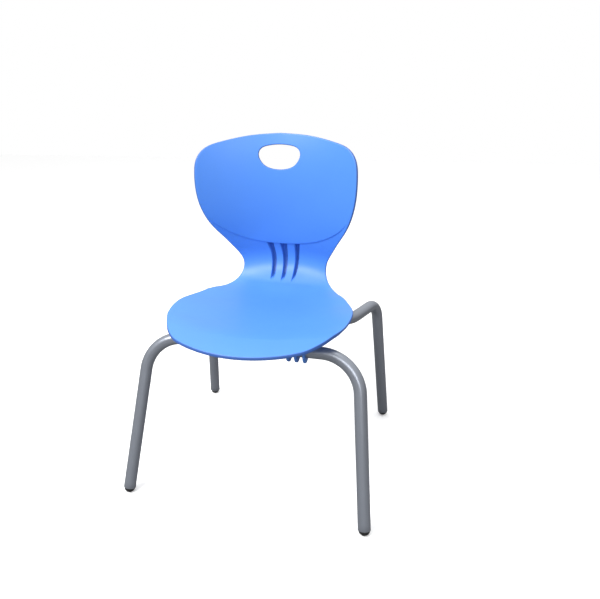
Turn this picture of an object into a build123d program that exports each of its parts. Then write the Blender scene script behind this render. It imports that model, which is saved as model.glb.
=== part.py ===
from build123d import *
import math
import os

# Student desk chair: one moulded seat-and-back shell on a frame of two bent steel tubes.
# +X is the sitter's left, the front faces -Y, +Z is up. The origin is on the floor, below the middle.

# ---- driving dimensions, in mm ----
tube_d = 25.0
tube_wall = 1.5
bar_z = 329.5                  # height of the two cross bars' centre lines

front_line_y = -229.4          # the line that the front feet stand on
foot_depth = 465.8             # from the front feet back to the rear feet
front_foot_x = 252.4
rear_foot_x = 236.1
front_rake = (-0.1086, 0.2871)   # how far a front leg moves in x and y for each mm up
rear_rake = (-0.0782, -0.1722)
front_bend = 80.0
rear_bend = 48.0
plan_bend = 60.0               # the bend from a side run of the rear tube into its cross bar
rear_bar_y = 37.6
side_run_slope = 0.32          # x for each mm of y along the rear tube's side runs

shell_wall = 5.5
flute_depth = 2.8

hook_x = (81.0, 97.0, 113.5)
hook_thick = 4.4
hook_radius = 21.0             # of the hook's rounded jaw about the front bar
hook_gap = 0.25                # clearance between a hook and the bar
hook_top = 366.0               # the hooks end inside the shell's wall

strap_x = 50.0
strap_width = 30.0
strap_thick = 4.0
strap_overhang = 9.0
strap_corner = 5.0
strap_hole_d = 5.6
weld_radius = 3.4
weld_inset = 7.6               # from a bar's centre line to the middle of a weld bead

screw_inset = 36.0             # from each bar's centre line to its screws
screw_d = 5.0
screw_head_d = 10.0
screw_head_h = 3.4
screw_reach = 12.0             # how far a screw goes up past the strap
screw_slot = (1.3, 5.6, 1.8)   # the recess in a screw's head: width, length, depth
washer_d = 13.0
washer_thick = 1.2
boss_d = 14.0
boss_top = 362.0

plug_dome_d = 22.8
plug_dome_h = 11.0
plug_sink = 1.0                # the dome's flat is where the floor would cut it this deep
plug_stem_d = 18.0
plug_fin_d = 21.8
plug_fin_thick = 1.6
plug_fin_spacing = 5.5
plug_fins = 3

# ---- values worked out from them ----
tube_r = tube_d / 2
bar_top = bar_z + tube_r
front_bar_y = front_line_y + front_rake[1] * bar_z
rear_foot_y = front_line_y + foot_depth
strap_top = bar_top + strap_thick
screw_y = (front_bar_y + screw_inset, rear_bar_y - screw_inset)
dome_radius = ((plug_dome_d / 2) ** 2 + plug_dome_h ** 2) / (2 * plug_dome_h)

# The shell's profile in the middle plane, on the sitter's side, from the front lip over the seat
# and up the back: y from the front feet's line, z, how strongly the shell curves across there
# (mm of rise for each mm squared from the middle), and how far the untrimmed sheet goes sideways.
profile_points = [
    (-17.5, 354.7, 0.00042, 175), (-8.0, 356.7, 0.00041, 180), (3.0, 359.0, 0.00038, 185),
    (18.0, 362.0, 0.00035, 190), (34.0, 364.9, 0.00033, 194), (46.0, 366.4, 0.00032, 196),
    (60.0, 366.9, 0.00033, 198), (110.0, 364.5, 0.00042, 202),
    (190.0, 362.5, 0.00055, 202), (255.0, 364.0, 0.00055, 195), (298.0, 371.0, 0.00040, 165),
    (330.0, 386.5, -0.00036, 132), (351.0, 404.0, 0.0, 115), (361.5, 420.0, 0.00060, 112),
    (364.0, 436.0, 0.00095, 116), (359.5, 454.0, 0.00110, 126), (351.0, 473.0, 0.00124, 138),
    (340.5, 507.0, 0.00165, 160), (331.0, 549.0, 0.00185, 178), (325.0, 592.0, 0.00182, 188),
    (323.0, 637.0, 0.00177, 190), (326.5, 685.0, 0.00177, 190), (335.0, 730.0, 0.00177, 190),
]
lip_bow = 0.0021               # how the front lip bows back towards its corners
lip_fade = (0.0, 150.0)        # the bow fades out over this depth of the seat
lip_share = 0.2                # the share of the profile where the shell's sides rise straight up

# The shell's outline, +X half: the seat's seen from above as (x, y from the front feet's line),
# and the back's seen from the front as (x, z).
seat_outline = [
    (0, -50), (80, -16), (118, 8), (140, 29), (157, 53), (170, 78), (180.5, 106), (188, 166),
    (181.8, 222), (167, 262), (148, 294), (126.5, 323), (110, 342), (97, 362), (0, 420),
]
back_outline = [
    (0, 340), (124, 372), (109, 391), (98.5, 413), (105.5, 443), (130, 486), (155, 530), (168, 568),
    (173.5, 604), (174, 640), (170.5, 668), (157, 688), (125, 703), (60, 715), (0, 718.5),
]
waist_point = (340.0, 394.0)   # where the two outlines take over from each other
hole_outline = [(0, 694.5), (25, 692.5), (40, 686.5), (45.3, 676), (41.5, 662), (31, 650.5), (16, 644.5), (0, 642.8)]
flutes = [(-31.5, -26.0, 14.0), (-1.0, 0.0, 18.0), (32.5, 26.0, 13.0)]  # x at top and bottom, top width
flute_ends = (391.0, 430.0, 471.5)
flute_waist = 10.0             # each flute's width halfway down


def smooth(value, start, end):
    """0 before start, 1 after end, and a smooth step between them."""
    t = min(max((value - start) / (end - start), 0.0), 1.0)
    return t * t * (3 - 2 * t)


def between_points(along, column):
    """A column of the profile's points, read at a share of the profile's length."""
    last = len(marks) - 2
    k = next((k for k in range(last) if along <= marks[k + 1]), last)
    start, end = profile_points[k][column], profile_points[k + 1][column]
    return start + (end - start) * smooth(along, marks[k], marks[k + 1])


def sheet_row(along, offset):
    """The points across the sheet at a share of the profile's length, offset off the sitter's face."""
    p = profile.position_at(along)
    t = profile.tangent_at(along)
    normal = Vector(0, -t.Z, t.Y)
    rise = Vector(0, 0, 1) if along < lip_share else normal
    bow = lip_bow * (1 - smooth(p.Y, *lip_fade)) if along < 0.5 else 0.0
    curve = between_points(along, 2)
    half_width = between_points(along, 3)
    row = []
    for j in range(-columns, columns + 1):
        x = half_width * j / columns
        q = p + rise * (curve * x * x) + normal * offset
        row.append(Vector(x, q.Y + bow * x * x + front_line_y, q.Z))
    return row


def sheet_solid(top, depth):
    """The shell's sheet, from top above the sitter's face and depth thick, with no outline yet."""
    faces = []
    for level in (top, top - depth):
        grid = [sheet_row(i / rows, level) for i in range(rows + 1)]
        faces.append(Face.make_surface_from_array_of_points(grid, tol=0.01, min_deg=3, max_deg=5))
    sides = []
    for edge in faces[0].edges():
        partner = min(faces[1].edges(), key=lambda other: abs(other.center() - edge.center()))
        sides.append(Face.make_surface_from_curves(edge, partner))
    return Solid(Shell(faces + sides))


def outline_prism(points, direction, span):
    """The space inside an outline given by its +X half, carried along a direction both ways."""
    half = Spline(*points)
    other = mirror(half, about=Plane.YZ)
    return extrude(make_face(half.edges() + other.edges()), amount=span, dir=direction, both=True)


def seat_shell():
    """The moulded shell: seat, waist and back in one sheet, with its hooks and screw bosses."""
    seat = outline_prism([(x, y + front_line_y, 360) for x, y in seat_outline], (0, 0, 1), 90)
    back = outline_prism([(x, 100, z) for x, z in back_outline], (0, 1, 0), 120)
    waist = Plane(origin=(0, waist_point[0] + front_line_y, waist_point[1]), z_dir=(0, 1, 1))
    above = waist * Box(700, 700, 700, align=(Align.CENTER, Align.CENTER, Align.MIN))
    shell = sheet_solid(0, shell_wall) & ((seat - above) + (back & above))
    shell -= outline_prism([(x, 100, z) for x, z in hole_outline], (0, 1, 0), 120)

    cutters = []
    low, middle, high = flute_ends
    for top_x, low_x, width in flutes:
        middle_x = (top_x + low_x) / 2
        sides = [(top_x + width / 2, high), (middle_x + flute_waist / 2, middle), (low_x, low),
                 (middle_x - flute_waist / 2, middle), (top_x - width / 2, high)]
        face = Plane.XZ * make_face(Polyline(*sides, close=True))
        cutters.append(extrude(face, amount=160, both=True))
    shell -= sheet_solid(6, 6 + flute_depth) & Compound(cutters)

    up = (Align.CENTER, Align.CENTER, Align.MIN)
    for side in (-1, 1):
        for y in screw_y:
            foot = Pos(side * strap_x, y, strap_top)
            shell += foot * Cylinder(boss_d / 2, boss_top - strap_top, align=up)
            shell -= foot * Cylinder(screw_d / 2, screw_reach + 0.5, align=up)
        for x in hook_x:
            shell += Pos(side * x, 0, 0) * hook()
    return shell


def hook():
    """A plate under the seat that goes down in front of the front bar and round below it."""
    seat_r = tube_r + hook_gap
    section = Circle(hook_radius) + Pos(0, (hook_top - bar_z) / 2) * Rectangle(2 * hook_radius, hook_top - bar_z)
    section -= Circle(seat_r)
    section -= Pos(hook_radius, 0) * Rectangle(2 * hook_radius, 2 * seat_r)
    middle = Plane(origin=(0, front_bar_y, bar_z), x_dir=(0, 1, 0), z_dir=(1, 0, 0))
    return extrude(middle * section, amount=hook_thick / 2, both=True)


def foot_axis(side, foot, rake):
    """Where a leg's centre line meets the floor, and its direction going up."""
    return Vector(side * foot[0], foot[1], 0), Vector(side * rake[0], rake[1], 1).normalized()


def tube_end(axis):
    """How far up its centre line a leg's tube ends, so that its plug's dome stands on the floor."""
    return (dome_radius - plug_sink) / axis.Z - (dome_radius - plug_dome_h)


def leg_corner(side, foot, rake):
    """Where a leg's centre line reaches the height of the cross bars."""
    return Vector(side * (foot[0] + rake[0] * bar_z), foot[1] + rake[1] * bar_z, bar_z)


def swept_tube(points, radii):
    """A round tube along straight runs joined by tangent bends."""
    path = FilletPolyline(*points, radius=radii)
    start = Plane(origin=path @ 0, z_dir=path % 0)
    tube = sweep(start * Circle(tube_r), path=path)
    bore = sweep(start * Circle(tube_r - tube_wall), path=path)
    return tube - bore


def leg_tube(foot, rake, inner_points, radii):
    """A tube from one foot over its cross bar to the other foot."""
    runs = {}
    for side in (-1, 1):
        floor_point, axis = foot_axis(side, foot, rake)
        end = floor_point + axis * tube_end(axis)
        inner = [Vector(side * x, y, bar_z) for x, y in inner_points]
        runs[side] = [end, leg_corner(side, foot, rake)] + inner
    return swept_tube(runs[-1] + runs[1][::-1], radii)


def dome_drop(radius):
    """The dome's surface at a distance from its axis, measured from its flat upper face."""
    return dome_radius - plug_dome_h - math.sqrt(dome_radius ** 2 - radius ** 2)


def foot_plug(side, foot, rake):
    """A moulded plug pressed into a leg's end: a domed foot, and a stem with fins inside the tube."""
    floor_point, axis = foot_axis(side, foot, rake)
    end = tube_end(axis)
    base = Plane(origin=floor_point + axis * end, z_dir=axis)
    up = (Align.CENTER, Align.CENTER, Align.MIN)
    half_chord = plug_dome_d / 2
    edge = ThreePointArc((0, -plug_dome_h), (half_chord * 0.6, dome_drop(half_chord * 0.6)), (half_chord, 0))
    section = make_face(Plane.XZ * (edge + Polyline((half_chord, 0), (0, 0), (0, -plug_dome_h))))
    dome = revolve(section, Axis.Z)
    plug = dome + Cylinder(plug_stem_d / 2, plug_fins * plug_fin_spacing + 2, align=up)
    for k in range(plug_fins):
        plug += Pos(0, 0, (k + 0.6) * plug_fin_spacing) * Cylinder(plug_fin_d / 2, plug_fin_thick, align=up)
    below_floor = Pos(floor_point.X, floor_point.Y, -50) * Box(100, 100, 50, align=up)
    return base * plug - below_floor


def strap(side):
    """A flat steel strap over the two cross bars, with a hole for each of its two screws."""
    length = rear_bar_y - front_bar_y + 2 * strap_overhang
    plate = extrude(RectangleRounded(strap_width, length, strap_corner), amount=strap_thick)
    plate = Pos(side * strap_x, (front_bar_y + rear_bar_y) / 2, bar_top) * plate
    for y in screw_y:
        plate -= Pos(side * strap_x, y, bar_top) * Cylinder(strap_hole_d / 2, 3 * strap_thick)
    return plate


def weld_beads():
    """Eight beads, one in front of and one behind each bar, below each strap."""
    beads = []
    for side in (-1, 1):
        for bar_y in (front_bar_y, rear_bar_y):
            bar = Pos(side * strap_x, bar_y, bar_z) * Rot(0, 90, 0) * Cylinder(tube_r, 2 * strap_width)
            for away in (-1, 1):
                centre = (side * strap_x, bar_y + away * weld_inset, bar_top - weld_radius / 2)
                bead = Pos(*centre) * Rot(0, 90, 0) * Cylinder(weld_radius, strap_width - 4)
                bead &= Pos(0, 0, bar_top) * Box(900, 900, 100, align=(Align.CENTER, Align.CENTER, Align.MAX))
                beads.append(bead - bar)
    return Compound([bead.solid() for bead in beads])


def screw():
    """A pan-head screw with a cross recess, head down, its head's upper face at z = 0."""
    up = (Align.CENTER, Align.CENTER, Align.MIN)
    down = (Align.CENTER, Align.CENTER, Align.MAX)
    head = Cylinder(screw_head_d / 2, screw_head_h, align=down)
    head = fillet(head.edges().group_by(Axis.Z)[0], 1.6)
    width, length, depth = screw_slot
    recess = Pos(0, 0, -screw_head_h) * (Box(width, length, depth, align=up) + Box(length, width, depth, align=up))
    shank_top = washer_thick + strap_thick + screw_reach
    shank = Cylinder(screw_d / 2, shank_top, align=up)
    shank = chamfer(shank.edges().group_by(Axis.Z)[-1], 1.2)
    return head + shank - recess


def washer():
    """A flat washer, its lower face at z = 0."""
    up = (Align.CENTER, Align.CENTER, Align.MIN)
    return Cylinder(washer_d / 2, washer_thick, align=up) - Cylinder(strap_hole_d / 2, 3 * washer_thick)


def at_screws(piece, z):
    """One copy of a fastener below each of the four screw holes."""
    places = [(side * strap_x, y, z) for side in (-1, 1) for y in screw_y]
    return Compound([(Pos(*place) * piece).solid() for place in places])


profile = Spline(*[(0, point[0], point[1]) for point in profile_points])
marks = [profile.param_at_point(Vector(0, point[0], point[1])) for point in profile_points]
rows = 72
columns = 16

front_foot = (front_foot_x, front_line_y)
rear_foot = (rear_foot_x, rear_foot_y)
rear_corner = leg_corner(1, rear_foot, rear_rake)
rear_inner = [(rear_corner.X - side_run_slope * (rear_corner.Y - rear_bar_y), rear_bar_y)]

nodes = {
    "seat_shell": seat_shell(),
    "front_leg_tube": leg_tube(front_foot, front_rake, [], [front_bend] * 2),
    "rear_leg_tube": leg_tube(rear_foot, rear_rake, rear_inner, [rear_bend, plan_bend, plan_bend, rear_bend]),
    "left_strap": strap(1),
    "right_strap": strap(-1),
    "weld_beads": weld_beads(),
    "shell_screws": at_screws(screw(), bar_top - washer_thick),
    "screw_washers": at_screws(washer(), bar_top - washer_thick),
    "front_left_foot_plug": foot_plug(1, front_foot, front_rake),
    "front_right_foot_plug": foot_plug(-1, front_foot, front_rake),
    "rear_left_foot_plug": foot_plug(1, rear_foot, rear_rake),
    "rear_right_foot_plug": foot_plug(-1, rear_foot, rear_rake),
}

os.makedirs("parts", exist_ok=True)
for name, shape in nodes.items():
    export_step(shape, f"parts/{name}.step")
    box = shape.bounding_box()
    print(name, [round(v, 2) for v in (*box.min, *box.max)], round(shape.volume), shape.is_valid)
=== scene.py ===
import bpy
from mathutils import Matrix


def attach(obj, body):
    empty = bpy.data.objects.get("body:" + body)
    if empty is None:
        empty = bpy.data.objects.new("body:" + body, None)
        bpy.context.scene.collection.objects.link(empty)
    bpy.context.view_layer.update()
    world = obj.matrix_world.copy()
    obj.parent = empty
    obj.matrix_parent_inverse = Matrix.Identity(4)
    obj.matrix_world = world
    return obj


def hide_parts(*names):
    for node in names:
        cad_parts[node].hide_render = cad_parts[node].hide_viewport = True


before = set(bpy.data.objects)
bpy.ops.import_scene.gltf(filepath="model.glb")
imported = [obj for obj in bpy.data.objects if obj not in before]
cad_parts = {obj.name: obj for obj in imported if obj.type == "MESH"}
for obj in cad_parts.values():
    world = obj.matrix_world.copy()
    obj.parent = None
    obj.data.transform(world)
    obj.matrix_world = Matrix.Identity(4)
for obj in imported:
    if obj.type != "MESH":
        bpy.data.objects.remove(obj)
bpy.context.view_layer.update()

import math

import bpy
import numpy as np
from mathutils import Matrix, Vector


# ---------------------------------------------------------------------------------------------
# Seat shell.
# One injection moulding in satin polypropylene: a dished seat, a narrow waist and a wrapped back.
# The mould closes on the rim, so the edge is rounded from both faces. Three deep flutes stiffen the
# waist just below the step where the back's pad begins.

mm = 0.001
front_line = -229.4            # where the front feet stand, in mm
wall = 5.5
rim_round = 1.9                # rounding of the rim's two edges
hole_round = 1.8
hole_block = (60, 13, 9)       # the grid's block left out round the hole: half width, below, above

# The profile in the middle plane, from the front lip to the top of the back: y from the front feet,
# z, and the rise towards the sides in mm for each mm squared.
profile_points = np.array([
    (-27.0, 362.7, 0.00043), (-17.5, 363.4, 0.00042), (-8.0, 364.1, 0.00041), (3.0, 364.9, 0.00038),
    (18.0, 365.8, 0.00035), (34.0, 366.5, 0.00033), (46.0, 366.9, 0.00032), (60.0, 367.0, 0.00033),
    (110.0, 364.5, 0.00042), (190.0, 362.5, 0.00055),
    (255.0, 364.0, 0.00055), (298.0, 371.0, 0.00040), (330.0, 386.5, -0.00036), (351.0, 404.0, 0.0),
    (361.5, 420.0, 0.00060), (364.0, 436.0, 0.00095), (359.5, 454.0, 0.00110),
    (351.0, 473.0, 0.00124), (340.5, 507.0, 0.00165),
    (331.0, 549.0, 0.00185), (325.0, 592.0, 0.00182), (323.0, 637.0, 0.00177), (326.5, 685.0, 0.00177),
    (335.0, 730.0, 0.00177),
])
lip_bow = 0.0021
lip_fade = (0.0, 150.0)
upright_share = (0.12, 0.2)     # of the profile's length, between which the rise turns to the normal
seat_outline = [                # x and y, seen from above, from the middle of the lip to the waist
    (0, -17.4), (40, -14.2), (80, -4.6), (112, 8.2), (130, 19.5), (144.5, 35.5), (157, 54), (168.5, 76),
    (178.3, 98), (185.0, 121), (188.7, 148), (188.2, 185), (179.4, 224), (163.6, 260), (145.8, 292),
    (128.0, 321),
]
back_outline = [                # x and z, seen from the front, from the waist to the middle of the top
    (108.5, 390), (98.6, 412), (105.5, 443), (130, 486), (155, 530), (168, 568),
    (173.5, 604), (174, 640), (170.3, 666), (156.5, 687.5), (124, 701.6), (60, 713.9), (0, 717.9),
]
hole_outline = [(0, 694.5), (25, 692.5), (40, 686.5), (45.3, 676), (41.5, 662), (31, 650.5),
                (16, 644.5), (0, 642.8)]


def smooth(value, start, end):
    """0 before start, 1 after end, and 3t^2 - 2t^3 between them."""
    t = np.clip((value - start) / (end - start), 0.0, 1.0)
    return t * t * (3 - 2 * t)


def line_through(points, at):
    """A natural cubic spline through the points, one to a row, with its knots spaced as the chords.

    at runs from 0 at the first point to 1 at the last."""
    points = np.asarray(points, float)
    count = len(points)
    knots = np.concatenate([[0], np.cumsum(np.linalg.norm(np.diff(points, axis=0), axis=1))])
    step = np.diff(knots)
    slope = np.diff(points, axis=0) / step[:, None]
    inner = np.arange(1, count - 1)
    system = np.eye(count)
    system[inner, inner - 1] = step[:-1]
    system[inner, inner] = 2 * (step[:-1] + step[1:])
    system[inner, inner + 1] = step[1:]
    right = np.zeros_like(points)
    right[1:-1] = 6 * np.diff(slope, axis=0)
    bend = np.linalg.solve(system, right)
    where = np.asarray(at, float) * knots[-1]
    k = np.clip(np.searchsorted(knots, where, side="right") - 1, 0, count - 2)
    span = step[k][:, None]
    back = (knots[k + 1] - where)[:, None]
    ahead = (where - knots[k])[:, None]
    return ((bend[k] * back ** 3 + bend[k + 1] * ahead ** 3) / (6 * span)
            + (points[k] / span - bend[k] * span / 6) * back
            + (points[k + 1] / span - bend[k + 1] * span / 6) * ahead)


profile_line = line_through(profile_points, np.linspace(0, 1, 3000))
profile_step = np.diff(profile_line[:, :2], axis=0)
profile_length = np.concatenate([[0], np.cumsum(np.linalg.norm(profile_step, axis=1))])
profile_slope = np.gradient(profile_line[:, :2], profile_length, axis=0)
profile_slope /= np.linalg.norm(profile_slope, axis=1)[:, None]
shell_length = profile_length[-1]


def sheet(x, s):
    """The sitter's face with no relief, in mm, as an array of (x, y, z).

    s is the length along the profile. The point is the profile's, plus c(s) x^2 along the profile's
    normal, and the lip also bows back by lip_bow x^2."""
    y, z, c = [np.interp(s, profile_length, profile_line[:, k]) for k in range(3)]
    along_y, along_z = [np.interp(s, profile_length, profile_slope[:, k]) for k in range(2)]
    upright = smooth(s, upright_share[0] * shell_length, upright_share[1] * shell_length)
    rise = c * x * x
    bow = lip_bow * (1 - smooth(y, *lip_fade)) * (s < shell_length / 2)
    out_y = y - along_z * upright * rise + bow * x * x
    out_z = z + (along_y * upright + 1 - upright) * rise
    return np.stack([x, out_y + front_line, out_z], -1)


def sheet_normal(x, s):
    """The sitter's face's unit normal: the cross product of its two slopes, by central differences."""
    reach = 0.05
    across = sheet(x + reach, s) - sheet(x - reach, s)
    along = sheet(x, s + reach) - sheet(x, s - reach)
    normal = np.cross(across, along)
    return normal / np.linalg.norm(normal, axis=-1)[..., None]


def profile_place(x, value, column, low, high):
    """The length s at which the sheet, at x, has that y (column 1) or z (column 2)."""
    s = np.linspace(low, high, 1500)
    return np.interp(value, sheet(np.full_like(s, x), s)[:, column], s)


waist_s = profile_place(0.0, 392.0, 2, 250.0, 500.0)
shell_half = [(x, profile_place(x, y + front_line, 1, 0.0, waist_s + 10)) for x, y in seat_outline]
shell_half += [(x, profile_place(x, z, 2, waist_s - 40, shell_length)) for x, z in back_outline]


def inset_half(half, depth, towards):
    """Half an outline, sampled finely and moved sideways by depth. Its ends lie on the middle line,
    so the half is mirrored before it is smoothed and cut again after."""
    half = np.array(half, float)
    whole = np.concatenate([half[::-1] * (-1, 1), half[1:]])
    fine = line_through(whole, np.linspace(0, 1, 4001))
    slope = np.gradient(fine, axis=0)
    slope /= np.linalg.norm(slope, axis=1)[:, None]
    moved = fine + towards * depth * np.stack([-slope[:, 1], slope[:, 0]], -1)
    return moved[2000:]


shell_edge = inset_half(shell_half, rim_round, 1)
edge_slope = np.gradient(shell_edge, axis=0)
edge_turn = np.degrees(np.arctan2(edge_slope[:, 1], edge_slope[:, 0]))
low_corner = np.argmax(edge_turn > 45)
high_corner = len(edge_turn) - 1 - np.argmax(edge_turn[::-1] < 135)
side_edge = shell_edge[low_corner:high_corner + 1]
low_edge = shell_edge[:low_corner + 1]
high_edge = shell_edge[high_corner:][::-1]

# The step below the back's pad: lowest in the middle, it climbs towards the rim on both sides.
step_s = profile_place(0.0, 474.0, 2, waist_s, shell_length)
step_curve = (0.0020, 5e-8)
step_depth = 1.9
step_width = 1.2
step_fade = (12.0, 85.0)        # below the step's line, where its recess starts to fade and ends
step_sides = (128.0, 162.0)


def step_line(x):
    """The length s of the step's line at x: step_s + a x^2 + b x^4."""
    return step_s + step_curve[0] * x ** 2 + step_curve[1] * x ** 4


# Each flute's middle line and width, from under the step to its lower tip: the share of its length,
# x, and the width.
flutes = [
    [(0.0, -31.5, 14.8), (0.22, -28.0, 11.4), (0.48, -25.4, 10.2),
     (0.75, -24.6, 9.2), (0.92, -26.6, 6.4), (1.0, -28.4, 0.0)],
    [(0.0, -1.0, 18.9), (0.22, 0.4, 12.9), (0.48, 1.0, 10.6),
     (0.75, 1.2, 9.0), (0.92, -0.8, 6.2), (1.0, -2.4, 0.0)],
    [(0.0, 32.3, 12.2), (0.22, 30.2, 9.9), (0.48, 28.6, 8.2),
     (0.75, 26.8, 7.4), (0.92, 24.4, 5.4), (1.0, 22.6, 0.0)],
]
flute_lines = [line_through(points, np.linspace(0, 1, 200)) for points in flutes]
flute_length = 96.0
flute_depth = 12.5
flute_rib_margin = 2.4          # how much wider the rib behind a flute is than the flute
flute_side = (1.3, 0.3)         # how far inside and outside its edge a flute's wall starts and ends
flute_top = (0.3, 1.6)
flute_tail = (0.72, 1.02)       # of its length, between which a flute grows shallow
flute_tail_loss = 0.9


def flute(x, below, line, margin=0.0):
    """How deep one flute is, from 0 to 1, at x and at a distance below the step's line: 1 across its
    width, falling to 0 over its steep walls. margin widens it all round."""
    share = np.clip(below / flute_length, 0.0, 1.0)
    middle = np.interp(share, line[:, 0], line[:, 1])
    half = 0.5 * np.interp(share, line[:, 0], line[:, 2]) + margin
    side = 1 - smooth(np.abs(x - middle), half - flute_side[0] - margin, half + flute_side[1] + margin)
    top = smooth(below, flute_top[0] - margin, flute_top[1] + margin)
    tail = smooth(below, flute_tail[0] * flute_length, flute_tail[1] * flute_length)
    return side * top * (1 - tail * flute_tail_loss) * (share < 1)


bend_s = profile_place(0.0, 388.0, 2, 250.0, 500.0)
bend_depth = 1.4
bend_reach = 26.0
bend_sides = (60.0, 120.0)
band_line = (46.5, 0.00105)     # y of the seat's front break in the middle, and how it bows back
band_slope = 0.108
band_soft = 1.3
band_end = (110.0, 140.0)
lip_extra = 2.2                 # how much thicker the wall is at the front lip
lip_extra_fade = (40.0, 110.0)


def shared_relief(x, s):
    """How far both faces stand off the plain sheet: the sharper bend where the waist leaves the seat,
    -depth (1 - d / reach)^2, and the lip's band, a straight slope ahead of its line."""
    away = np.clip(1 - np.abs(s - bend_s) / bend_reach, 0.0, 1.0)
    relief = -bend_depth * away ** 2 * (1 - smooth(np.abs(x), *bend_sides))
    ahead = band_line[0] + band_line[1] * x * x - (sheet(x, s)[..., 1] - front_line)
    drop = 0.5 * (ahead + np.sqrt(ahead * ahead + band_soft ** 2))
    return relief - band_slope * drop * (1 - smooth(s, *band_end))


def flutes_share(x, s, margin):
    """How deep the three flutes are together, from 0 to 1."""
    below = step_line(x) - s
    return np.max([flute(x, below, line, margin) for line in flute_lines], axis=0)


def front_relief(x, s):
    """What only the sitter's face has: the recess below the step's line, and the flutes."""
    below = step_line(x) - s
    recess = smooth(below, 0.0, step_width) * (1 - smooth(below, *step_fade))
    recess = recess * (1 - smooth(np.abs(x), *step_sides))
    return -step_depth * recess - flute_depth * flutes_share(x, s, 0.0)


def back_relief(x, s):
    """How far the rear face stands off a wall of even thickness: a rounded rib behind each flute, and
    the thicker lip, which thins back to the wall over the front of the seat."""
    return ((flute_depth - 1.0) * flutes_share(x, s, flute_rib_margin)
            + lip_extra * (1 - smooth(s, *lip_extra_fade)))


def eased(count, ease):
    """count + 1 numbers from 0 to 1 that crowd towards both ends: t - ease sin(2 pi t) / (2 pi)."""
    t = np.linspace(0, 1, count + 1)
    return t - ease * np.sin(2 * np.pi * t) / (2 * np.pi)


columns = 200
low_rows = 128
high_rows = 72
row_ease = (0.85, 0.72)         # how much the low and high rows crowd towards the step and the ends
column_ease = 0.54
across = np.linspace(-1, 1, columns + 1)
across = across * (1 - column_ease + column_ease * across ** 2)

# The side of the shell where the step's line meets the rim.
side_gap = side_edge[:, 1] - step_line(side_edge[:, 0])
step_side_s = side_edge[np.argmax(side_gap > 0), 1]
low_s, high_s = side_edge[0, 1], side_edge[-1, 1]
row_s = np.concatenate([low_s + (step_side_s - low_s) * eased(low_rows, row_ease[0]),
                        step_side_s + (high_s - step_side_s) * eased(high_rows, row_ease[1])[1:]])
half_width = np.interp(row_s, side_edge[:, 1], side_edge[:, 0])


def shell_grid():
    """x and s of the sheet's grid. Each row spans the outline, and rows sag from the side's s so that
    the first follows the lip, row low_rows the step's line and the last the top."""
    x = across[None, :] * half_width[:, None]
    low_sag = np.interp(np.abs(x[0]), low_edge[:, 0], low_edge[:, 1]) - low_s
    step_sag = step_line(x[low_rows]) - step_side_s
    high_sag = np.interp(np.abs(x[-1]), high_edge[:, 0], high_edge[:, 1]) - high_s
    share = np.clip((row_s - low_s) / (step_side_s - low_s), 0, 1)[:, None]
    high_share = np.clip((row_s - step_side_s) / (high_s - step_side_s), 0, 1)[:, None]
    sag = low_sag * (1 - share) + step_sag * (share - high_share) + high_sag * high_share
    return x, row_s[:, None] + sag


def ring_of(first_row, last_row, first_column, last_column):
    """Row and column numbers round a block of the grid, counterclockwise from its low left corner."""
    wide = np.arange(first_column, last_column)
    tall = np.arange(first_row, last_row)
    row = np.concatenate([np.full(len(wide), first_row), tall, np.full(len(wide), last_row), tall[::-1] + 1])
    column = np.concatenate([wide, np.full(len(tall), last_column), wide[::-1] + 1,
                             np.full(len(tall), first_column)])
    return row, column


def outward(loop_x, loop_s):
    """The unit normals, in x and s, of a closed counterclockwise loop."""
    dx = np.roll(loop_x, -1) - np.roll(loop_x, 1)
    ds = np.roll(loop_s, -1) - np.roll(loop_s, 1)
    size = np.hypot(dx, ds)
    return ds / size, -dx / size


def rounded_edge(rounding, steps=4):
    """How far out and how deep each ring of a rounded edge lies: two quarter circles and a flat."""
    turn = np.linspace(0, np.pi / 2, steps + 1)
    out = rounding * np.sin(turn)
    deep = rounding * (1 - np.cos(turn))
    return np.concatenate([out, out[::-1]]), np.concatenate([deep, (wall - deep)[::-1]])


def quads(grid):
    """The faces between neighbouring rows and columns of a grid of vertex numbers."""
    return np.stack([grid[:-1, :-1], grid[:-1, 1:], grid[1:, 1:], grid[1:, :-1]], -1).reshape(-1, 4)


def new_piece(name, points, faces, material, slot, replaced):
    """A smooth-shaded mesh object from points in mm and an array of faces, riding on the root body."""
    mesh = bpy.data.meshes.new(name)
    mesh.from_pydata((np.asarray(points) * mm).tolist(), [], [list(face) for face in faces])
    mesh.polygons.foreach_set("use_smooth", np.ones(len(mesh.polygons), bool))
    mesh.materials.append(material)
    mesh.update()
    piece = bpy.data.objects.new(name, mesh)
    bpy.context.scene.collection.objects.link(piece)
    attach(piece, "root")
    if replaced:
        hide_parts(*replaced)
    return piece


flute_painted_shade = 0.7          # how much of the painted shade the flutes take, painted into their hollows


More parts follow.
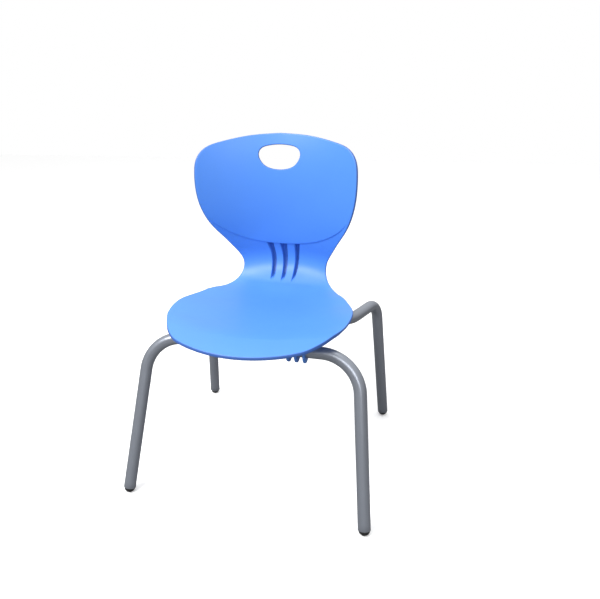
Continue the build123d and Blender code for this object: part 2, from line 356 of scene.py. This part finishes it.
def shell_surface():
    """The shell's points, faces and share of painted shade: a front grid and a back grid with a block
    left out round the hand hole, rings that lead from the block to the hole, and rounded edges that
    join front and back. The painted shade darkens the rim's end face and the flutes."""
    x, s = shell_grid()
    size = x.shape
    hole = np.array([(px, profile_place(px, z, 2, waist_s, shell_length)) for px, z in hole_outline])
    hole_fine = line_through(np.concatenate([hole[::-1] * (-1, 1), hole[1:]]), np.linspace(0, 1, 2001))
    middle_s = 0.5 * (hole[0, 1] + hole[-1, 1])
    centre_column = columns // 2
    first_row = np.argmax(s[:, centre_column] > hole[:, 1].min() - hole_block[1])
    last_row = np.argmax(s[:, centre_column] > hole[:, 1].max() + hole_block[2])
    first_column = np.argmax(x[(first_row + last_row) // 2] > -hole_block[0])
    last_column = columns - first_column
    ring_row, ring_column = ring_of(first_row, last_row, first_column, last_column)
    ring_x, ring_s = x[ring_row, ring_column], s[ring_row, ring_column]

    # Each point of the block's edge looks at the hole's outline along its own direction.
    turn = np.arctan2(hole_fine[:, 1] - middle_s, hole_fine[:, 0])
    radius = np.hypot(hole_fine[:, 0], hole_fine[:, 1] - middle_s) + hole_round
    order = np.argsort(turn)
    ring_turn = np.arctan2(ring_s - middle_s, ring_x)
    hole_radius = np.interp(ring_turn, turn[order], radius[order], period=2 * np.pi)
    hole_x = hole_radius * np.cos(ring_turn)
    hole_s = middle_s + hole_radius * np.sin(ring_turn)
    share = (np.linspace(0, 1, 11) ** 0.8)[:, None]
    fan_x = ring_x + (hole_x - ring_x) * share
    fan_s = ring_s + (hole_s - ring_s) * share

    keep = np.ones((size[0] - 1, size[1] - 1), bool)
    keep[first_row:last_row, first_column:last_column] = False
    grid = np.arange(x.size).reshape(size)
    fan = np.concatenate([grid[ring_row, ring_column][None],
                          x.size + np.arange(fan_x[1:].size).reshape(fan_x[1:].shape)])
    face_x = np.concatenate([x.ravel(), fan_x[1:].ravel()])
    face_s = np.concatenate([s.ravel(), fan_s[1:].ravel()])
    fan = np.concatenate([fan, fan[:, :1]], 1)
    front_faces = np.concatenate([quads(grid)[keep.ravel()], quads(fan)])

    normal = sheet_normal(face_x, face_s)
    plain = sheet(face_x, face_s) + normal * shared_relief(face_x, face_s)[:, None]
    front = plain + normal * front_relief(face_x, face_s)[:, None]
    rear = plain - normal * (wall + back_relief(face_x, face_s))[:, None]
    points = [front, rear]
    # Each point's share of painted shade: most of it in the flutes, none on the rear face.
    edge = [flute_painted_shade * flutes_share(face_x, face_s, 0.0), np.zeros(len(rear))]
    faces = [front_faces, front_faces[:, ::-1] + len(front)]
    total = 2 * len(front)

    edge_row, edge_column = ring_of(0, size[0] - 1, 0, size[1] - 1)
    loops = [(grid[edge_row, edge_column], rim_round, 1), (fan[-1, :-1], hole_round, -1)]
    for loop, rounding, way in loops:
        loop_x, loop_s = face_x[loop], face_s[loop]
        out_x, out_s = outward(loop_x, loop_s)
        out, deep = rounded_edge(rounding)
        relief = front_relief(loop_x, loop_s)
        thickness = wall + back_relief(loop_x, loop_s)
        numbers = [loop]
        for reach, depth in zip(out[1:-1], deep[1:-1]):
            at_x = loop_x + way * out_x * reach
            at_s = loop_s + way * out_s * reach
            lift = shared_relief(at_x, at_s) + relief * (1 - depth / wall) - depth * thickness / wall
            points.append(sheet(at_x, at_s) + sheet_normal(at_x, at_s) * lift[:, None])
            # The rim's rounded rings take the painted shade, full on the end face.
            edge.append(np.full(len(loop), smooth(reach, 0.0, rounding)))
            numbers.append(total + np.arange(len(loop)))
            total += len(loop)
        numbers.append(loop + len(front))
        strip = np.array(numbers)
        strip = np.concatenate([strip, strip[:, :1]], 1)
        side = quads(strip)
        faces.append(side[:, ::-1] if way > 0 else side)
    points = np.concatenate(points)
    faces = np.concatenate(faces)

    # Grid points inside the left-out block belong to no face and are dropped.
    used = np.unique(faces)
    number = np.zeros(len(points), int)
    number[used] = np.arange(len(used))
    return points[used], number[faces], np.concatenate(edge)[used]


def value_noise(nodes, links, source, scale, detail, place):
    """A noise texture on the given coordinates."""
    noise = nodes.new("ShaderNodeTexNoise")
    noise.inputs["Scale"].default_value = scale
    noise.inputs["Detail"].default_value = detail
    noise.location = place
    links.new(source, noise.inputs["Vector"])
    return noise.outputs["Fac"]


def ranged(nodes, links, source, low, high, new_low, new_high, place):
    """source from low..high, mapped to new_low..new_high and clamped."""
    node = nodes.new("ShaderNodeMapRange")
    node.location = place
    node.inputs["From Min"].default_value = low
    node.inputs["From Max"].default_value = high
    node.inputs["To Min"].default_value = new_low
    node.inputs["To Max"].default_value = new_high
    links.new(source, node.inputs["Value"])
    return node.outputs["Result"]


def finish_group():
    """A node group for any moulded or coated surface: it tints a colour with broad unevenness and fine
    specks, varies the roughness, and gives a grain's height."""
    group = bpy.data.node_groups.new("surface_finish", "ShaderNodeTree")
    face = group.interface
    for name, kind in (("Colour", "NodeSocketColor"), ("Unevenness", "NodeSocketFloat"),
                       ("Specks", "NodeSocketFloat"), ("Grain size", "NodeSocketFloat"),
                       ("Roughness", "NodeSocketFloat"), ("Roughness range", "NodeSocketFloat")):
        face.new_socket(name, in_out="INPUT", socket_type=kind)
    for name, kind in (("Colour", "NodeSocketColor"), ("Roughness", "NodeSocketFloat"),
                       ("Grain", "NodeSocketFloat")):
        face.new_socket(name, in_out="OUTPUT", socket_type=kind)
    nodes, links = group.nodes, group.links
    entry = nodes.new("NodeGroupInput")
    leave = nodes.new("NodeGroupOutput")
    where = nodes.new("ShaderNodeTexCoord").outputs["Object"]
    broad = value_noise(nodes, links, where, 9.0, 3.0, (-600, 300))
    cloudy = value_noise(nodes, links, where, 55.0, 4.0, (-600, 100))
    speck = value_noise(nodes, links, where, 1400.0, 1.0, (-600, -100))
    grain_scale = nodes.new("ShaderNodeMath")
    grain_scale.operation = "DIVIDE"
    grain_scale.inputs[0].default_value = 1.0
    links.new(entry.outputs["Grain size"], grain_scale.inputs[1])
    grain = nodes.new("ShaderNodeTexNoise")
    grain.inputs["Detail"].default_value = 2.0
    links.new(where, grain.inputs["Vector"])
    links.new(grain_scale.outputs[0], grain.inputs["Scale"])

    def scaled(source, amount):
        """(source - 0.5) times an amount given by a socket."""
        less = nodes.new("ShaderNodeMath")
        less.operation = "SUBTRACT"
        less.inputs[1].default_value = 0.5
        links.new(source, less.inputs[0])
        times = nodes.new("ShaderNodeMath")
        times.operation = "MULTIPLY"
        links.new(less.outputs[0], times.inputs[0])
        links.new(amount, times.inputs[1])
        return times.outputs[0]

    def summed(first, second):
        """The sum of two values."""
        node = nodes.new("ShaderNodeMath")
        node.operation = "ADD"
        links.new(first, node.inputs[0])
        links.new(second, node.inputs[1])
        return node.outputs[0]

    tint = summed(scaled(broad, entry.outputs["Unevenness"]), scaled(speck, entry.outputs["Specks"]))
    bright = nodes.new("ShaderNodeMath")
    bright.operation = "ADD"
    bright.inputs[1].default_value = 1.0
    links.new(tint, bright.inputs[0])
    shade = nodes.new("ShaderNodeHueSaturation")
    links.new(bright.outputs[0], shade.inputs["Value"])
    links.new(entry.outputs["Colour"], shade.inputs["Color"])
    links.new(shade.outputs["Color"], leave.inputs["Colour"])
    rough = summed(entry.outputs["Roughness"], scaled(cloudy, entry.outputs["Roughness range"]))
    links.new(rough, leave.inputs["Roughness"])
    links.new(grain.outputs["Fac"], leave.inputs["Grain"])
    return group


surface_finish = finish_group()


def coated_material(name, colour, unevenness, specks, grain_mm, roughness, roughness_range, bump, **fixed):
    """A Principled material fed by the surface finish group; fixed values go on its own sockets."""
    material = bpy.data.materials.new(name)
    material.use_nodes = True
    nodes, links = material.node_tree.nodes, material.node_tree.links
    shader = nodes["Principled BSDF"]
    finish = nodes.new("ShaderNodeGroup")
    finish.node_tree = surface_finish
    finish.location = (-500, 0)
    for socket, value in (("Colour", (*colour, 1.0)), ("Unevenness", unevenness), ("Specks", specks),
                          ("Grain size", grain_mm * mm), ("Roughness", roughness),
                          ("Roughness range", roughness_range)):
        finish.inputs[socket].default_value = value
    relief = nodes.new("ShaderNodeBump")
    relief.location = (-250, -250)
    relief.inputs["Strength"].default_value = bump
    relief.inputs["Distance"].default_value = 0.1 * mm
    links.new(finish.outputs["Grain"], relief.inputs["Height"])
    links.new(finish.outputs["Colour"], shader.inputs["Base Color"])
    links.new(finish.outputs["Roughness"], shader.inputs["Roughness"])
    links.new(relief.outputs["Normal"], shader.inputs["Normal"])
    for socket, value in fixed.items():
        shader.inputs[socket.replace("_", " ")].default_value = value
    return material


shell_plastic = coated_material("shell_plastic", (0.076, 0.248, 0.74), 0.10, 0.04, 0.9, 0.42, 0.08, 0.35,
                                IOR=1.49)
shell_points, shell_faces, shell_painted_shade = shell_surface()
shell = new_piece("shell_moulding", shell_points, shell_faces, shell_plastic, "shell_plastic", ["seat_shell"])
# The edge attribute holds the share of painted shade, full on the rim's end face and most of it in the
# flutes.
shell.data.attributes.new("edge", "FLOAT", "POINT").data.foreach_set("value", shell_painted_shade)

# The rim's end face is painted a deeper, duller blue as painted shade, and the flutes take most of that
# painted shade.
painted_shade_colour = (0.044, 0.120, 0.41, 1.0)
plastic_nodes, plastic_links = shell_plastic.node_tree.nodes, shell_plastic.node_tree.links
plastic_shader = plastic_nodes["Principled BSDF"]
painted_shade_node = plastic_nodes.new("ShaderNodeAttribute")
painted_shade_node.attribute_name = "edge"
painted_shade_mix = plastic_nodes.new("ShaderNodeMix")
painted_shade_mix.data_type = "RGBA"
painted_shade_mix.inputs["B"].default_value = painted_shade_colour
plastic_links.new(painted_shade_node.outputs["Fac"], painted_shade_mix.inputs["Factor"])
plastic_links.new(plastic_shader.inputs["Base Color"].links[0].from_socket, painted_shade_mix.inputs["A"])
plastic_links.new(painted_shade_mix.outputs["Result"], plastic_shader.inputs["Base Color"])


# ---------------------------------------------------------------------------------------------
# Hooks under the seat.
# They are part of the shell's moulding: three plates on each side come down in front of the front bar
# and hook round below it.

bar_z = 329.5
tube_r = 12.5
front_rake = (-0.1086, 0.2871)
front_bar_y = front_line + front_rake[1] * bar_z
rear_bar_y = 37.6
hook_x = (81.0, 97.0, 113.5)
hook_half = 2.2
hook_radius = 23.0
hook_seat = tube_r + 0.25
hook_top = 365.0
hook_rounding = 0.8
hook_end = 350                 # degrees round the bar, from the rear, where the jaw stops


def bevelled(loop, middle, half, rounding, across_axis):
    """A flat plate with rounded edges: rings of the loop, shrunk towards the outline's own inside, are
    laid across the plate's thickness. loop is closed, counterclockwise, in the plate's own two axes."""
    loop = np.asarray(loop, float)
    before, after = np.roll(loop, 1, axis=0), np.roll(loop, -1, axis=0)
    slope = after - before
    slope /= np.linalg.norm(slope, axis=1)[:, None]
    inward = np.stack([-slope[:, 1], slope[:, 0]], -1)
    turn = np.linspace(0, np.pi / 2, 4)
    back_in = rounding * (1 - np.sin(turn))
    inset = np.concatenate([back_in, back_in[::-1]])
    drop = rounding * (1 - np.cos(turn))
    height = np.concatenate([-half + drop, (half - drop)[::-1]])
    rings = [np.insert(loop + inward * back, across_axis, middle + level, axis=1)
             for back, level in zip(inset, height)]
    count = len(loop)
    numbers = np.arange(len(rings) * count).reshape(len(rings), count)
    numbers = np.concatenate([numbers, numbers[:, :1]], 1)
    return np.concatenate(rings), quads(numbers), numbers[0, :-1], numbers[-1, :-1]


def arc(centre, radius, start, end, count):
    """Points of a circle's arc from one angle to another, in degrees."""
    turn = np.radians(np.linspace(start, end, count))
    return np.stack([centre[0] + radius * np.cos(turn), centre[1] + radius * np.sin(turn)], -1)


def hook_loop():
    """A hook seen from the side, in y and z: down in front of the bar, round below it, a rounded lip,
    and back up inside, open to the rear."""
    bar = (front_bar_y, bar_z)
    lip = 0.5 * (hook_radius - hook_seat)
    outside = arc(bar, hook_radius, 180, hook_end, 30)
    lip_turn = math.radians(hook_end)
    middle = hook_seat + lip
    tip = (bar[0] + middle * math.cos(lip_turn), bar[1] + middle * math.sin(lip_turn))
    tip_arc = arc(tip, lip, hook_end, hook_end + 180, 9)[1:-1]
    inside = arc(bar, hook_seat, hook_end, 180, 28)
    return outside, tip_arc, inside, bar


def hook_points(x):
    """One hook's points and faces: its front web and its jaw are one strip of even rings between the outside
    and the inside outline, with its first and last rings, over which hook_piece closes its two flat sides."""
    outside, tip_arc, inside, bar = hook_loop()
    web_out = np.stack([np.full(8, bar[0] - hook_radius), np.linspace(hook_top, bar[1], 9)[:-1]], -1)
    web_in = np.stack([np.full(8, bar[0] - hook_seat), np.linspace(bar[1], hook_top, 9)[1:]], -1)
    loop = np.concatenate([web_out, outside, tip_arc, inside, web_in])
    return bevelled(loop, x, hook_half, hook_rounding, 0)


def joined(parts):
    """Several (points, faces) made one: each part's face numbers are moved past the points before it."""
    points = [part[0] for part in parts]
    starts = np.cumsum([0] + [len(group) for group in points[:-1]])
    faces = [[start + corner for corner in face] for part, start in zip(parts, starts) for face in part[1]]
    return np.concatenate(points), faces


def hook_piece(x):
    """A hook with its sides closed by one many-cornered face each."""
    points, sides, first, last = hook_points(x)
    return points, [list(face) for face in sides] + [list(first[::-1]), list(last)]


hooks = [hook_piece(side * x) for side in (-1, 1) for x in hook_x]
hook_mesh, hook_faces = joined(hooks)
new_piece("shell_hooks", hook_mesh, hook_faces, shell_plastic, "shell_plastic", ["seat_shell"])


# ---------------------------------------------------------------------------------------------
# Screw bosses.
# Four round posts of the shell's moulding stand on the straps. Each has a cored hole for its screw, a
# swept root where it meets the shell, and a rounded foot.

strap_x = 50.0
strap_top = bar_z + tube_r + 4.0
screw_y = (front_bar_y + 36.0, rear_bar_y - 36.0)
boss_r = 7.0
boss_bore = 2.6
boss_root = 4.0
boss_foot = 0.7
boss_lead = 0.4                # the bore's countersink
boss_sink = 1.5                # how far the root's top goes up into the shell


def revolved(profile, turns):
    """A closed outline of (radius, height) points carried round the z axis: radius cos a, radius sin a."""
    profile = np.asarray(profile, float)
    a = np.linspace(0, 2 * np.pi, turns, endpoint=False)
    points = np.stack([profile[:, :1] * np.cos(a), profile[:, :1] * np.sin(a),
                       np.repeat(profile[:, 1:], turns, 1)], -1)
    numbers = np.arange(points[..., 0].size).reshape(points.shape[:2])
    numbers = np.concatenate([numbers, numbers[:, :1]], 1)
    return points.reshape(-1, 3), numbers


def ring_solid(profile, turns):
    """revolved() for an outline that never touches the axis: its last ring joins its first."""
    points, numbers = revolved(profile, turns)
    return points, quads(np.concatenate([numbers, numbers[:1]]))


def boss(x, y):
    """One post: bore, rounded foot, straight side, and a root that spreads as a quarter circle."""
    above = sheet(np.full(400, x), np.linspace(0, waist_s, 400))
    underside = np.interp(y, above[:, 1], above[:, 2]) - wall
    height = underside - strap_top
    turn = np.linspace(0, np.pi / 2, 8)
    foot = np.stack([boss_r - boss_foot + boss_foot * np.sin(turn), boss_foot - boss_foot * np.cos(turn)], -1)
    root = np.stack([boss_r + boss_root * (1 - np.cos(turn)),
                     height - boss_root + boss_root * np.sin(turn)], -1)
    top = [(boss_r + boss_root, height + boss_sink), (boss_bore, height + boss_sink)]
    points, faces = ring_solid([(boss_bore, boss_lead), (boss_bore + boss_lead, 0.0), *foot, *root, *top], 48)
    return points + (x, y, strap_top), faces


boss_mesh, boss_faces = joined([boss(side * strap_x, y) for side in (-1, 1) for y in screw_y])
new_piece("shell_bosses", boss_mesh, boss_faces, shell_plastic, "shell_plastic", ["seat_shell"])


# ---------------------------------------------------------------------------------------------
# Frame tubes.
# Two bent steel tubes, each one foot to the other over a cross bar that runs below the seat. They are
# cut square, deburred, and powder coated silver grey together with the straps and their welds.

tube_wall = 1.5
front_foot = (252.4, front_line)
rear_foot = (236.1, front_line + 465.8)
rear_rake = (-0.0782, -0.1722)
rear_run_slope = 0.32
front_bends = [80.0, 80.0]
rear_bends = [48.0, 60.0, 60.0, 48.0]
cut_rounding = 0.35            # of a cut tube's two edges
plug_dome = (11.4, 11.0)       # half chord and height
plug_sink = 1.0
dome_radius = (plug_dome[0] ** 2 + plug_dome[1] ** 2) / (2 * plug_dome[1])


def foot_axis(side, foot, rake):
    """Where a leg's centre line meets the floor, and its unit direction going up."""
    axis = np.array([side * rake[0], rake[1], 1.0])
    return np.array([side * foot[0], foot[1], 0.0]), axis / np.linalg.norm(axis)


def tube_end(axis):
    """How far up its centre line a tube ends, so that its plug's dome stands on the floor."""
    return (dome_radius - plug_sink) / axis[2] - (dome_radius - plug_dome[1])


def bent_path(corners, radii, spacing=3.0):
    """Straight runs between corners joined by circular bends: along a bend the point is
    centre - r n cos t + r d sin t, where d is the run's direction and n points to the centre."""
    corners = [np.asarray(corner, float) for corner in corners]
    pieces = []
    start = corners[0]
    for before, corner, after, radius in zip(corners, corners[1:], corners[2:], radii):
        coming = (corner - before) / np.linalg.norm(corner - before)
        going = (after - corner) / np.linalg.norm(after - corner)
        angle = math.acos(np.clip(coming @ going, -1, 1))
        begin = corner - coming * radius * math.tan(angle / 2)
        side = going - coming * (coming @ going)
        side /= np.linalg.norm(side)
        straight = np.linalg.norm(begin - start)
        run = np.linspace(0, 1, max(2, int(straight / (4 * spacing))), endpoint=False)[:, None]
        pieces.append(start + (begin - start) * run)
        t = np.linspace(0, angle, int(radius * angle / spacing) + 2)[:, None]
        bend = begin + side * radius - side * radius * np.cos(t) + coming * radius * np.sin(t)
        pieces.append(bend[:-1])
        start = bend[-1]
    run = np.linspace(0, 1, max(2, int(np.linalg.norm(corners[-1] - start) / (4 * spacing))))[:, None]
    pieces.append(start + (corners[-1] - start) * run)
    return np.concatenate(pieces)


def carried_frames(path):
    """Two unit axes across the path at each of its points. Each pair is the one before it with its part
    along the path's new direction taken out, so the pair never twists."""
    along = np.gradient(path, axis=0)
    along /= np.linalg.norm(along, axis=1)[:, None]
    first = np.cross(along[0], (0.0, 1.0, 0.0))
    firsts = []
    for direction in along:
        first = first - direction * (first @ direction)
        first = first / np.linalg.norm(first)
        firsts.append(first)
    firsts = np.array(firsts)
    return firsts, np.cross(along, firsts), along


def swept_tube(path, radius, inner, turns=56):
    """An open tube along a path: outside, a rounded cut, inside, and the other cut, joined as one closed
    strip of rings. Each ring is the path's point + radius (first cos a + second sin a)."""
    first, second, along = carried_frames(path)
    count = len(path)
    cut = cut_rounding
    order = np.concatenate([np.arange(count), [count - 1] * 2, np.arange(count)[::-1], [0] * 2])
    size = np.concatenate([np.full(count, radius), [radius - cut, inner + cut], np.full(count, inner),
                           [inner + cut, radius - cut]])
    shift = np.zeros(len(order))
    shift[0] = cut
    shift[count - 1] = -cut
    shift[count + 2] = -cut
    shift[2 * count + 1] = cut
    a = np.linspace(0, 2 * np.pi, turns, endpoint=False)[None, :, None]
    ring = first[order][:, None] * np.cos(a) + second[order][:, None] * np.sin(a)
    points = (path[order] + along[order] * shift[:, None])[:, None] + ring * size[:, None, None]
    numbers = np.arange(points[..., 0].size).reshape(points.shape[:2])
    numbers = np.concatenate([numbers, numbers[:1]])
    numbers = np.concatenate([numbers, numbers[:, :1]], 1)
    return points.reshape(-1, 3), quads(numbers)


def leg_path(foot, rake, inner_points, radii):
    """The centre line from one foot over the cross bar to the other foot."""
    halves = []
    for side in (-1, 1):
        floor_point, axis = foot_axis(side, foot, rake)
        corner = floor_point + axis * (bar_z / axis[2])
        inner = [np.array([side * x, y, bar_z]) for x, y in inner_points]
        halves.append([floor_point + axis * tube_end(axis), corner] + inner)
    return bent_path(halves[0] + halves[1][::-1], radii)


frame_paint = coated_material("frame_paint", (0.31, 0.335, 0.385), 0.06, 0.25, 0.7, 0.30, 0.10, 0.25,
                              Metallic=0.7)
rear_corner = (rear_foot[0] + rear_rake[0] * bar_z, rear_foot[1] + rear_rake[1] * bar_z)
rear_inner_x = rear_corner[0] - rear_run_slope * (rear_corner[1] - rear_bar_y)
front_path = leg_path(front_foot, front_rake, [], front_bends)
rear_path = leg_path(rear_foot, rear_rake, [(rear_inner_x, rear_bar_y)], rear_bends)
new_piece("front_tube", *swept_tube(front_path, tube_r, tube_r - tube_wall), frame_paint,
          "frame_paint", ["front_leg_tube"])
new_piece("rear_tube", *swept_tube(rear_path, tube_r, tube_r - tube_wall), frame_paint,
          "frame_paint", ["rear_leg_tube"])


# ---------------------------------------------------------------------------------------------
# Straps and welds.
# Two flat steel straps with rounded ends lie over both bars and carry the shell. A short rippled bead
# holds each strap to each bar, in front and behind.

strap_half = 15.0
strap_thick = 4.0
strap_reach = 9.0
strap_corner = 5.0
strap_bevel = 0.5
weld_r = 3.4
weld_inset = 7.6
weld_half = 13.0
weld_ripple = 0.06             # of the radius
weld_waves = 6.5


def strap(side):
    """A rounded rectangle with bevelled edges, laid over the bars. It has no screw holes."""
    low, high = front_bar_y - strap_reach, rear_bar_y + strap_reach
    wide = strap_half - strap_corner
    corners = [((wide, low + strap_corner), -90), ((wide, high - strap_corner), 0),
               ((-wide, high - strap_corner), 90), ((-wide, low + strap_corner), 180)]
    loop = np.concatenate([arc(centre, strap_corner, begin, begin + 90, 10) for centre, begin in corners])
    loop[:, 0] += side * strap_x
    points, sides, first, last = bevelled(loop, strap_top - strap_thick / 2, strap_thick / 2, strap_bevel, 2)
    return points, [list(face) for face in sides] + [list(first[::-1]), list(last)]


for side, name in ((1, "left"), (-1, "right")):
    new_piece(name + "_strap_plate", *strap(side), frame_paint, "frame_paint", [name + "_strap"])


def weld_bead(x, y):
    """A bead along x: a circle whose radius swells in ripples and falls to nothing at both ends."""
    t = np.linspace(-1, 1, 61)
    ripple = 1 + weld_ripple * np.abs(np.sin(t * weld_waves * np.pi))
    radius = weld_r * 0.97 * ripple * np.sqrt(np.clip(1 - t ** 6, 0.0004, 1))
    a = np.linspace(0, 2 * np.pi, 24, endpoint=False)
    points = np.stack([np.repeat((x + weld_half * t)[:, None], 24, 1),
                       y + radius[:, None] * np.cos(a),
                       strap_top - strap_thick - weld_r / 2 + radius[:, None] * np.sin(a)], -1)
    numbers = np.arange(61 * 24).reshape(61, 24)
    wrapped = np.concatenate([numbers, numbers[:, :1]], 1)
    faces = [list(face[::-1]) for face in quads(wrapped)] + [list(numbers[0]), list(numbers[-1, ::-1])]
    return points.reshape(-1, 3), faces


beads = [weld_bead(side * strap_x, bar_y + away * weld_inset)
         for side in (-1, 1) for bar_y in (front_bar_y, rear_bar_y) for away in (-1, 1)]
new_piece("weld_runs", *joined(beads), frame_paint, "frame_paint", ["weld_beads"])


# ---------------------------------------------------------------------------------------------
# Foot plugs.
# Black moulded plugs pressed into the tube ends. The dome stands on the floor and has worn flat there,
# and three fins grip inside the tube.

plug_stem_r = 9.0
plug_fin_r = 10.9
plug_fins = (3.3, 8.8, 14.3)
plug_fin_thick = 1.6
plug_fin_lead = 0.4
plug_edge = 0.2                # rounding of the dome's rim
plug_stem_h = 18.0
plug_stem_bevel = 0.5
foot_plastic = coated_material("foot_plastic", (0.012, 0.012, 0.013), 0.15, 0.1, 0.8, 0.42, 0.12, 0.3)


def plug_profile():
    """Radius and height from the dome's pole, up its circle's arc to a rounded edge, and up the stem."""
    reach = math.asin((plug_dome[0] - 2 * plug_edge) / dome_radius)
    t = np.linspace(0, reach, 16)
    dome = np.stack([dome_radius * np.sin(t), dome_radius - plug_dome[1] - dome_radius * np.cos(t)], -1)
    points = [*dome[1:], (plug_dome[0], -plug_edge), (plug_dome[0] - plug_edge, 0.0), (plug_stem_r, 0.0)]
    for height in plug_fins:
        points += [(plug_stem_r, height), (plug_fin_r, height + plug_fin_lead),
                   (plug_fin_r, height + plug_fin_thick), (plug_stem_r, height + plug_fin_thick)]
    end = [(plug_stem_r, plug_stem_h), (plug_stem_r - plug_stem_bevel, plug_stem_h + plug_stem_bevel)]
    return points + end


def foot_plug(side, foot, rake):
    """The profile turned about the leg's axis, capped at both ends, with whatever falls below the floor
    laid flat on it."""
    floor_point, axis = foot_axis(side, foot, rake)
    points, numbers = revolved(plug_profile(), 48)
    wide = np.cross((0.0, 1.0, 0.0), axis)
    wide /= np.linalg.norm(wide)
    deep = np.cross(axis, wide)
    placed = (floor_point + axis * tube_end(axis) + points[:, :1] * wide + points[:, 1:2] * deep
              + points[:, 2:] * axis)
    placed[:, 2] = np.maximum(placed[:, 2], 0.0)
    faces = [list(face) for face in quads(numbers)] + [list(numbers[0, -2::-1]), list(numbers[-1, :-1])]
    return placed, faces


for side, hand in ((1, "left"), (-1, "right")):
    new_piece("front_" + hand + "_foot", *foot_plug(side, front_foot, front_rake), foot_plastic,
              "foot_plastic", ["front_" + hand + "_foot_plug"])
    new_piece("rear_" + hand + "_foot", *foot_plug(side, rear_foot, rear_rake), foot_plastic,
              "foot_plastic", ["rear_" + hand + "_foot_plug"])


# ---------------------------------------------------------------------------------------------
# Screws and washers.
# Bright zinc-plated pan-head screws and flat washers, driven up through the straps into the bosses.

fastener_steel = coated_material("fastener_steel", (0.60, 0.61, 0.62), 0.12, 0.1, 0.5, 0.30, 0.14, 0.12,
                                 Metallic=1.0)
for name in ("shell_screws", "screw_washers"):
    node = bpy.data.objects[name]
    node.data.materials.clear()
    node.data.materials.append(fastener_steel)


# ---------------------------------------------------------------------------------------------
# Floor, light and camera.
# A pale seamless floor under broad soft lights: one large overhead, a key from the front left, and a
# weaker fill from the right.

floor_size = 12.0
floor_mesh = bpy.data.meshes.new("studio_floor")
corner = floor_size / 2
floor_corners = [(-corner, -corner, 0), (corner, -corner, 0), (corner, corner, 0), (-corner, corner, 0)]
floor_mesh.from_pydata(floor_corners, [], [(0, 1, 2, 3)])
studio_floor = bpy.data.objects.new("studio_floor", floor_mesh)
bpy.context.scene.collection.objects.link(studio_floor)
floor_paper = coated_material("floor_paper", (0.90, 0.90, 0.90), 0.01, 0.01, 2.0, 0.8, 0.05, 0.05,
                              Emission_Color=(1.0, 1.0, 1.0, 1.0), Emission_Strength=0.22)
floor_nodes, floor_links = floor_paper.node_tree.nodes, floor_paper.node_tree.links
dim_paper = floor_nodes.new("ShaderNodeBsdfDiffuse")
dim_paper.inputs["Color"].default_value = (0.20, 0.20, 0.20, 1.0)
seen_direct = floor_nodes.new("ShaderNodeLightPath")
floor_mix = floor_nodes.new("ShaderNodeMixShader")
floor_links.new(seen_direct.outputs["Is Camera Ray"], floor_mix.inputs["Fac"])
floor_links.new(dim_paper.outputs["BSDF"], floor_mix.inputs[1])
floor_links.new(floor_nodes["Principled BSDF"].outputs["BSDF"], floor_mix.inputs[2])
floor_links.new(floor_mix.outputs["Shader"], floor_nodes["Material Output"].inputs["Surface"])
floor_mesh.materials.append(floor_paper)

scene = bpy.context.scene
scene.view_settings.view_transform = "Standard"
sky_strength = (0.26, 0.95)     # at the floor's level and straight up
backdrop_strength = 0.20        # added behind the chair

# The room is white to the camera and, as a light, brighter overhead than at the sides.
world = bpy.data.worlds.new("studio")
world.use_nodes = True
sky_nodes, sky_links = world.node_tree.nodes, world.node_tree.links
room = sky_nodes["Background"]
room.inputs["Color"].default_value = (1.0, 1.0, 1.0, 1.0)
white_room = sky_nodes.new("ShaderNodeBackground")
white_room.inputs["Color"].default_value = (1.0, 1.0, 1.0, 1.0)
direction = sky_nodes.new("ShaderNodeTexCoord")
parts = sky_nodes.new("ShaderNodeSeparateXYZ")
sky_links.new(direction.outputs["Generated"], parts.inputs["Vector"])
sky_sum = sky_nodes.new("ShaderNodeMath")
sky_sum.operation = "ADD"
sky_links.new(ranged(sky_nodes, sky_links, parts.outputs["Z"], -0.1, 0.9, *sky_strength, (-300, 0)),
              sky_sum.inputs[0])
sky_links.new(ranged(sky_nodes, sky_links, parts.outputs["Y"], 0.1, 0.9, 0.0, backdrop_strength, (-300, 200)),
              sky_sum.inputs[1])
sky_links.new(sky_sum.outputs[0], room.inputs["Strength"])
seen = sky_nodes.new("ShaderNodeLightPath")
sky_mix = sky_nodes.new("ShaderNodeMixShader")
sky_links.new(seen.outputs["Is Camera Ray"], sky_mix.inputs["Fac"])
sky_links.new(room.outputs["Background"], sky_mix.inputs[1])
sky_links.new(white_room.outputs["Background"], sky_mix.inputs[2])
sky_links.new(sky_mix.outputs["Shader"], sky_nodes["World Output"].inputs["Surface"])
scene.world = world


def area_light(name, place, aim, size, power):
    """A square area light at a place, turned to face its aim."""
    data = bpy.data.lights.new(name, "AREA")
    data.size = size
    data.energy = power
    lamp = bpy.data.objects.new(name, data)
    lamp.location = place
    lamp.rotation_euler = (Vector(aim) - Vector(place)).to_track_quat("-Z", "Y").to_euler()
    scene.collection.objects.link(lamp)


area_light("overhead", (-0.2, 0.3, 2.8), (0.0, 0.0, 0.3), 2.2, 22.0)
area_light("key", (-1.3, -1.9, 2.5), (0.0, 0.0, 0.45), 1.5, 100.0)
area_light("fill", (0.9, -2.8, 1.6), (0.0, 0.0, 0.5), 1.4, 22.0)

camera_pan, camera_tilt, camera_roll = (math.radians(turn) for turn in (16.74, 90 - 20.71, -0.995))
camera_data = bpy.data.cameras.new("camera")
camera_data.sensor_width = 36.0
camera_data.lens = 35.4
camera_data.shift_x = 0.0497
camera_data.shift_y = 0.0207
camera = bpy.data.objects.new("camera", camera_data)
camera.location = (0.3475, -1.1481, 0.8048)
camera_turn = (Matrix.Rotation(camera_pan, 4, "Z") @ Matrix.Rotation(camera_tilt, 4, "X")
               @ Matrix.Rotation(camera_roll, 4, "Z"))
camera.rotation_euler = camera_turn.to_euler()
scene.collection.objects.link(camera)
scene.camera = camera
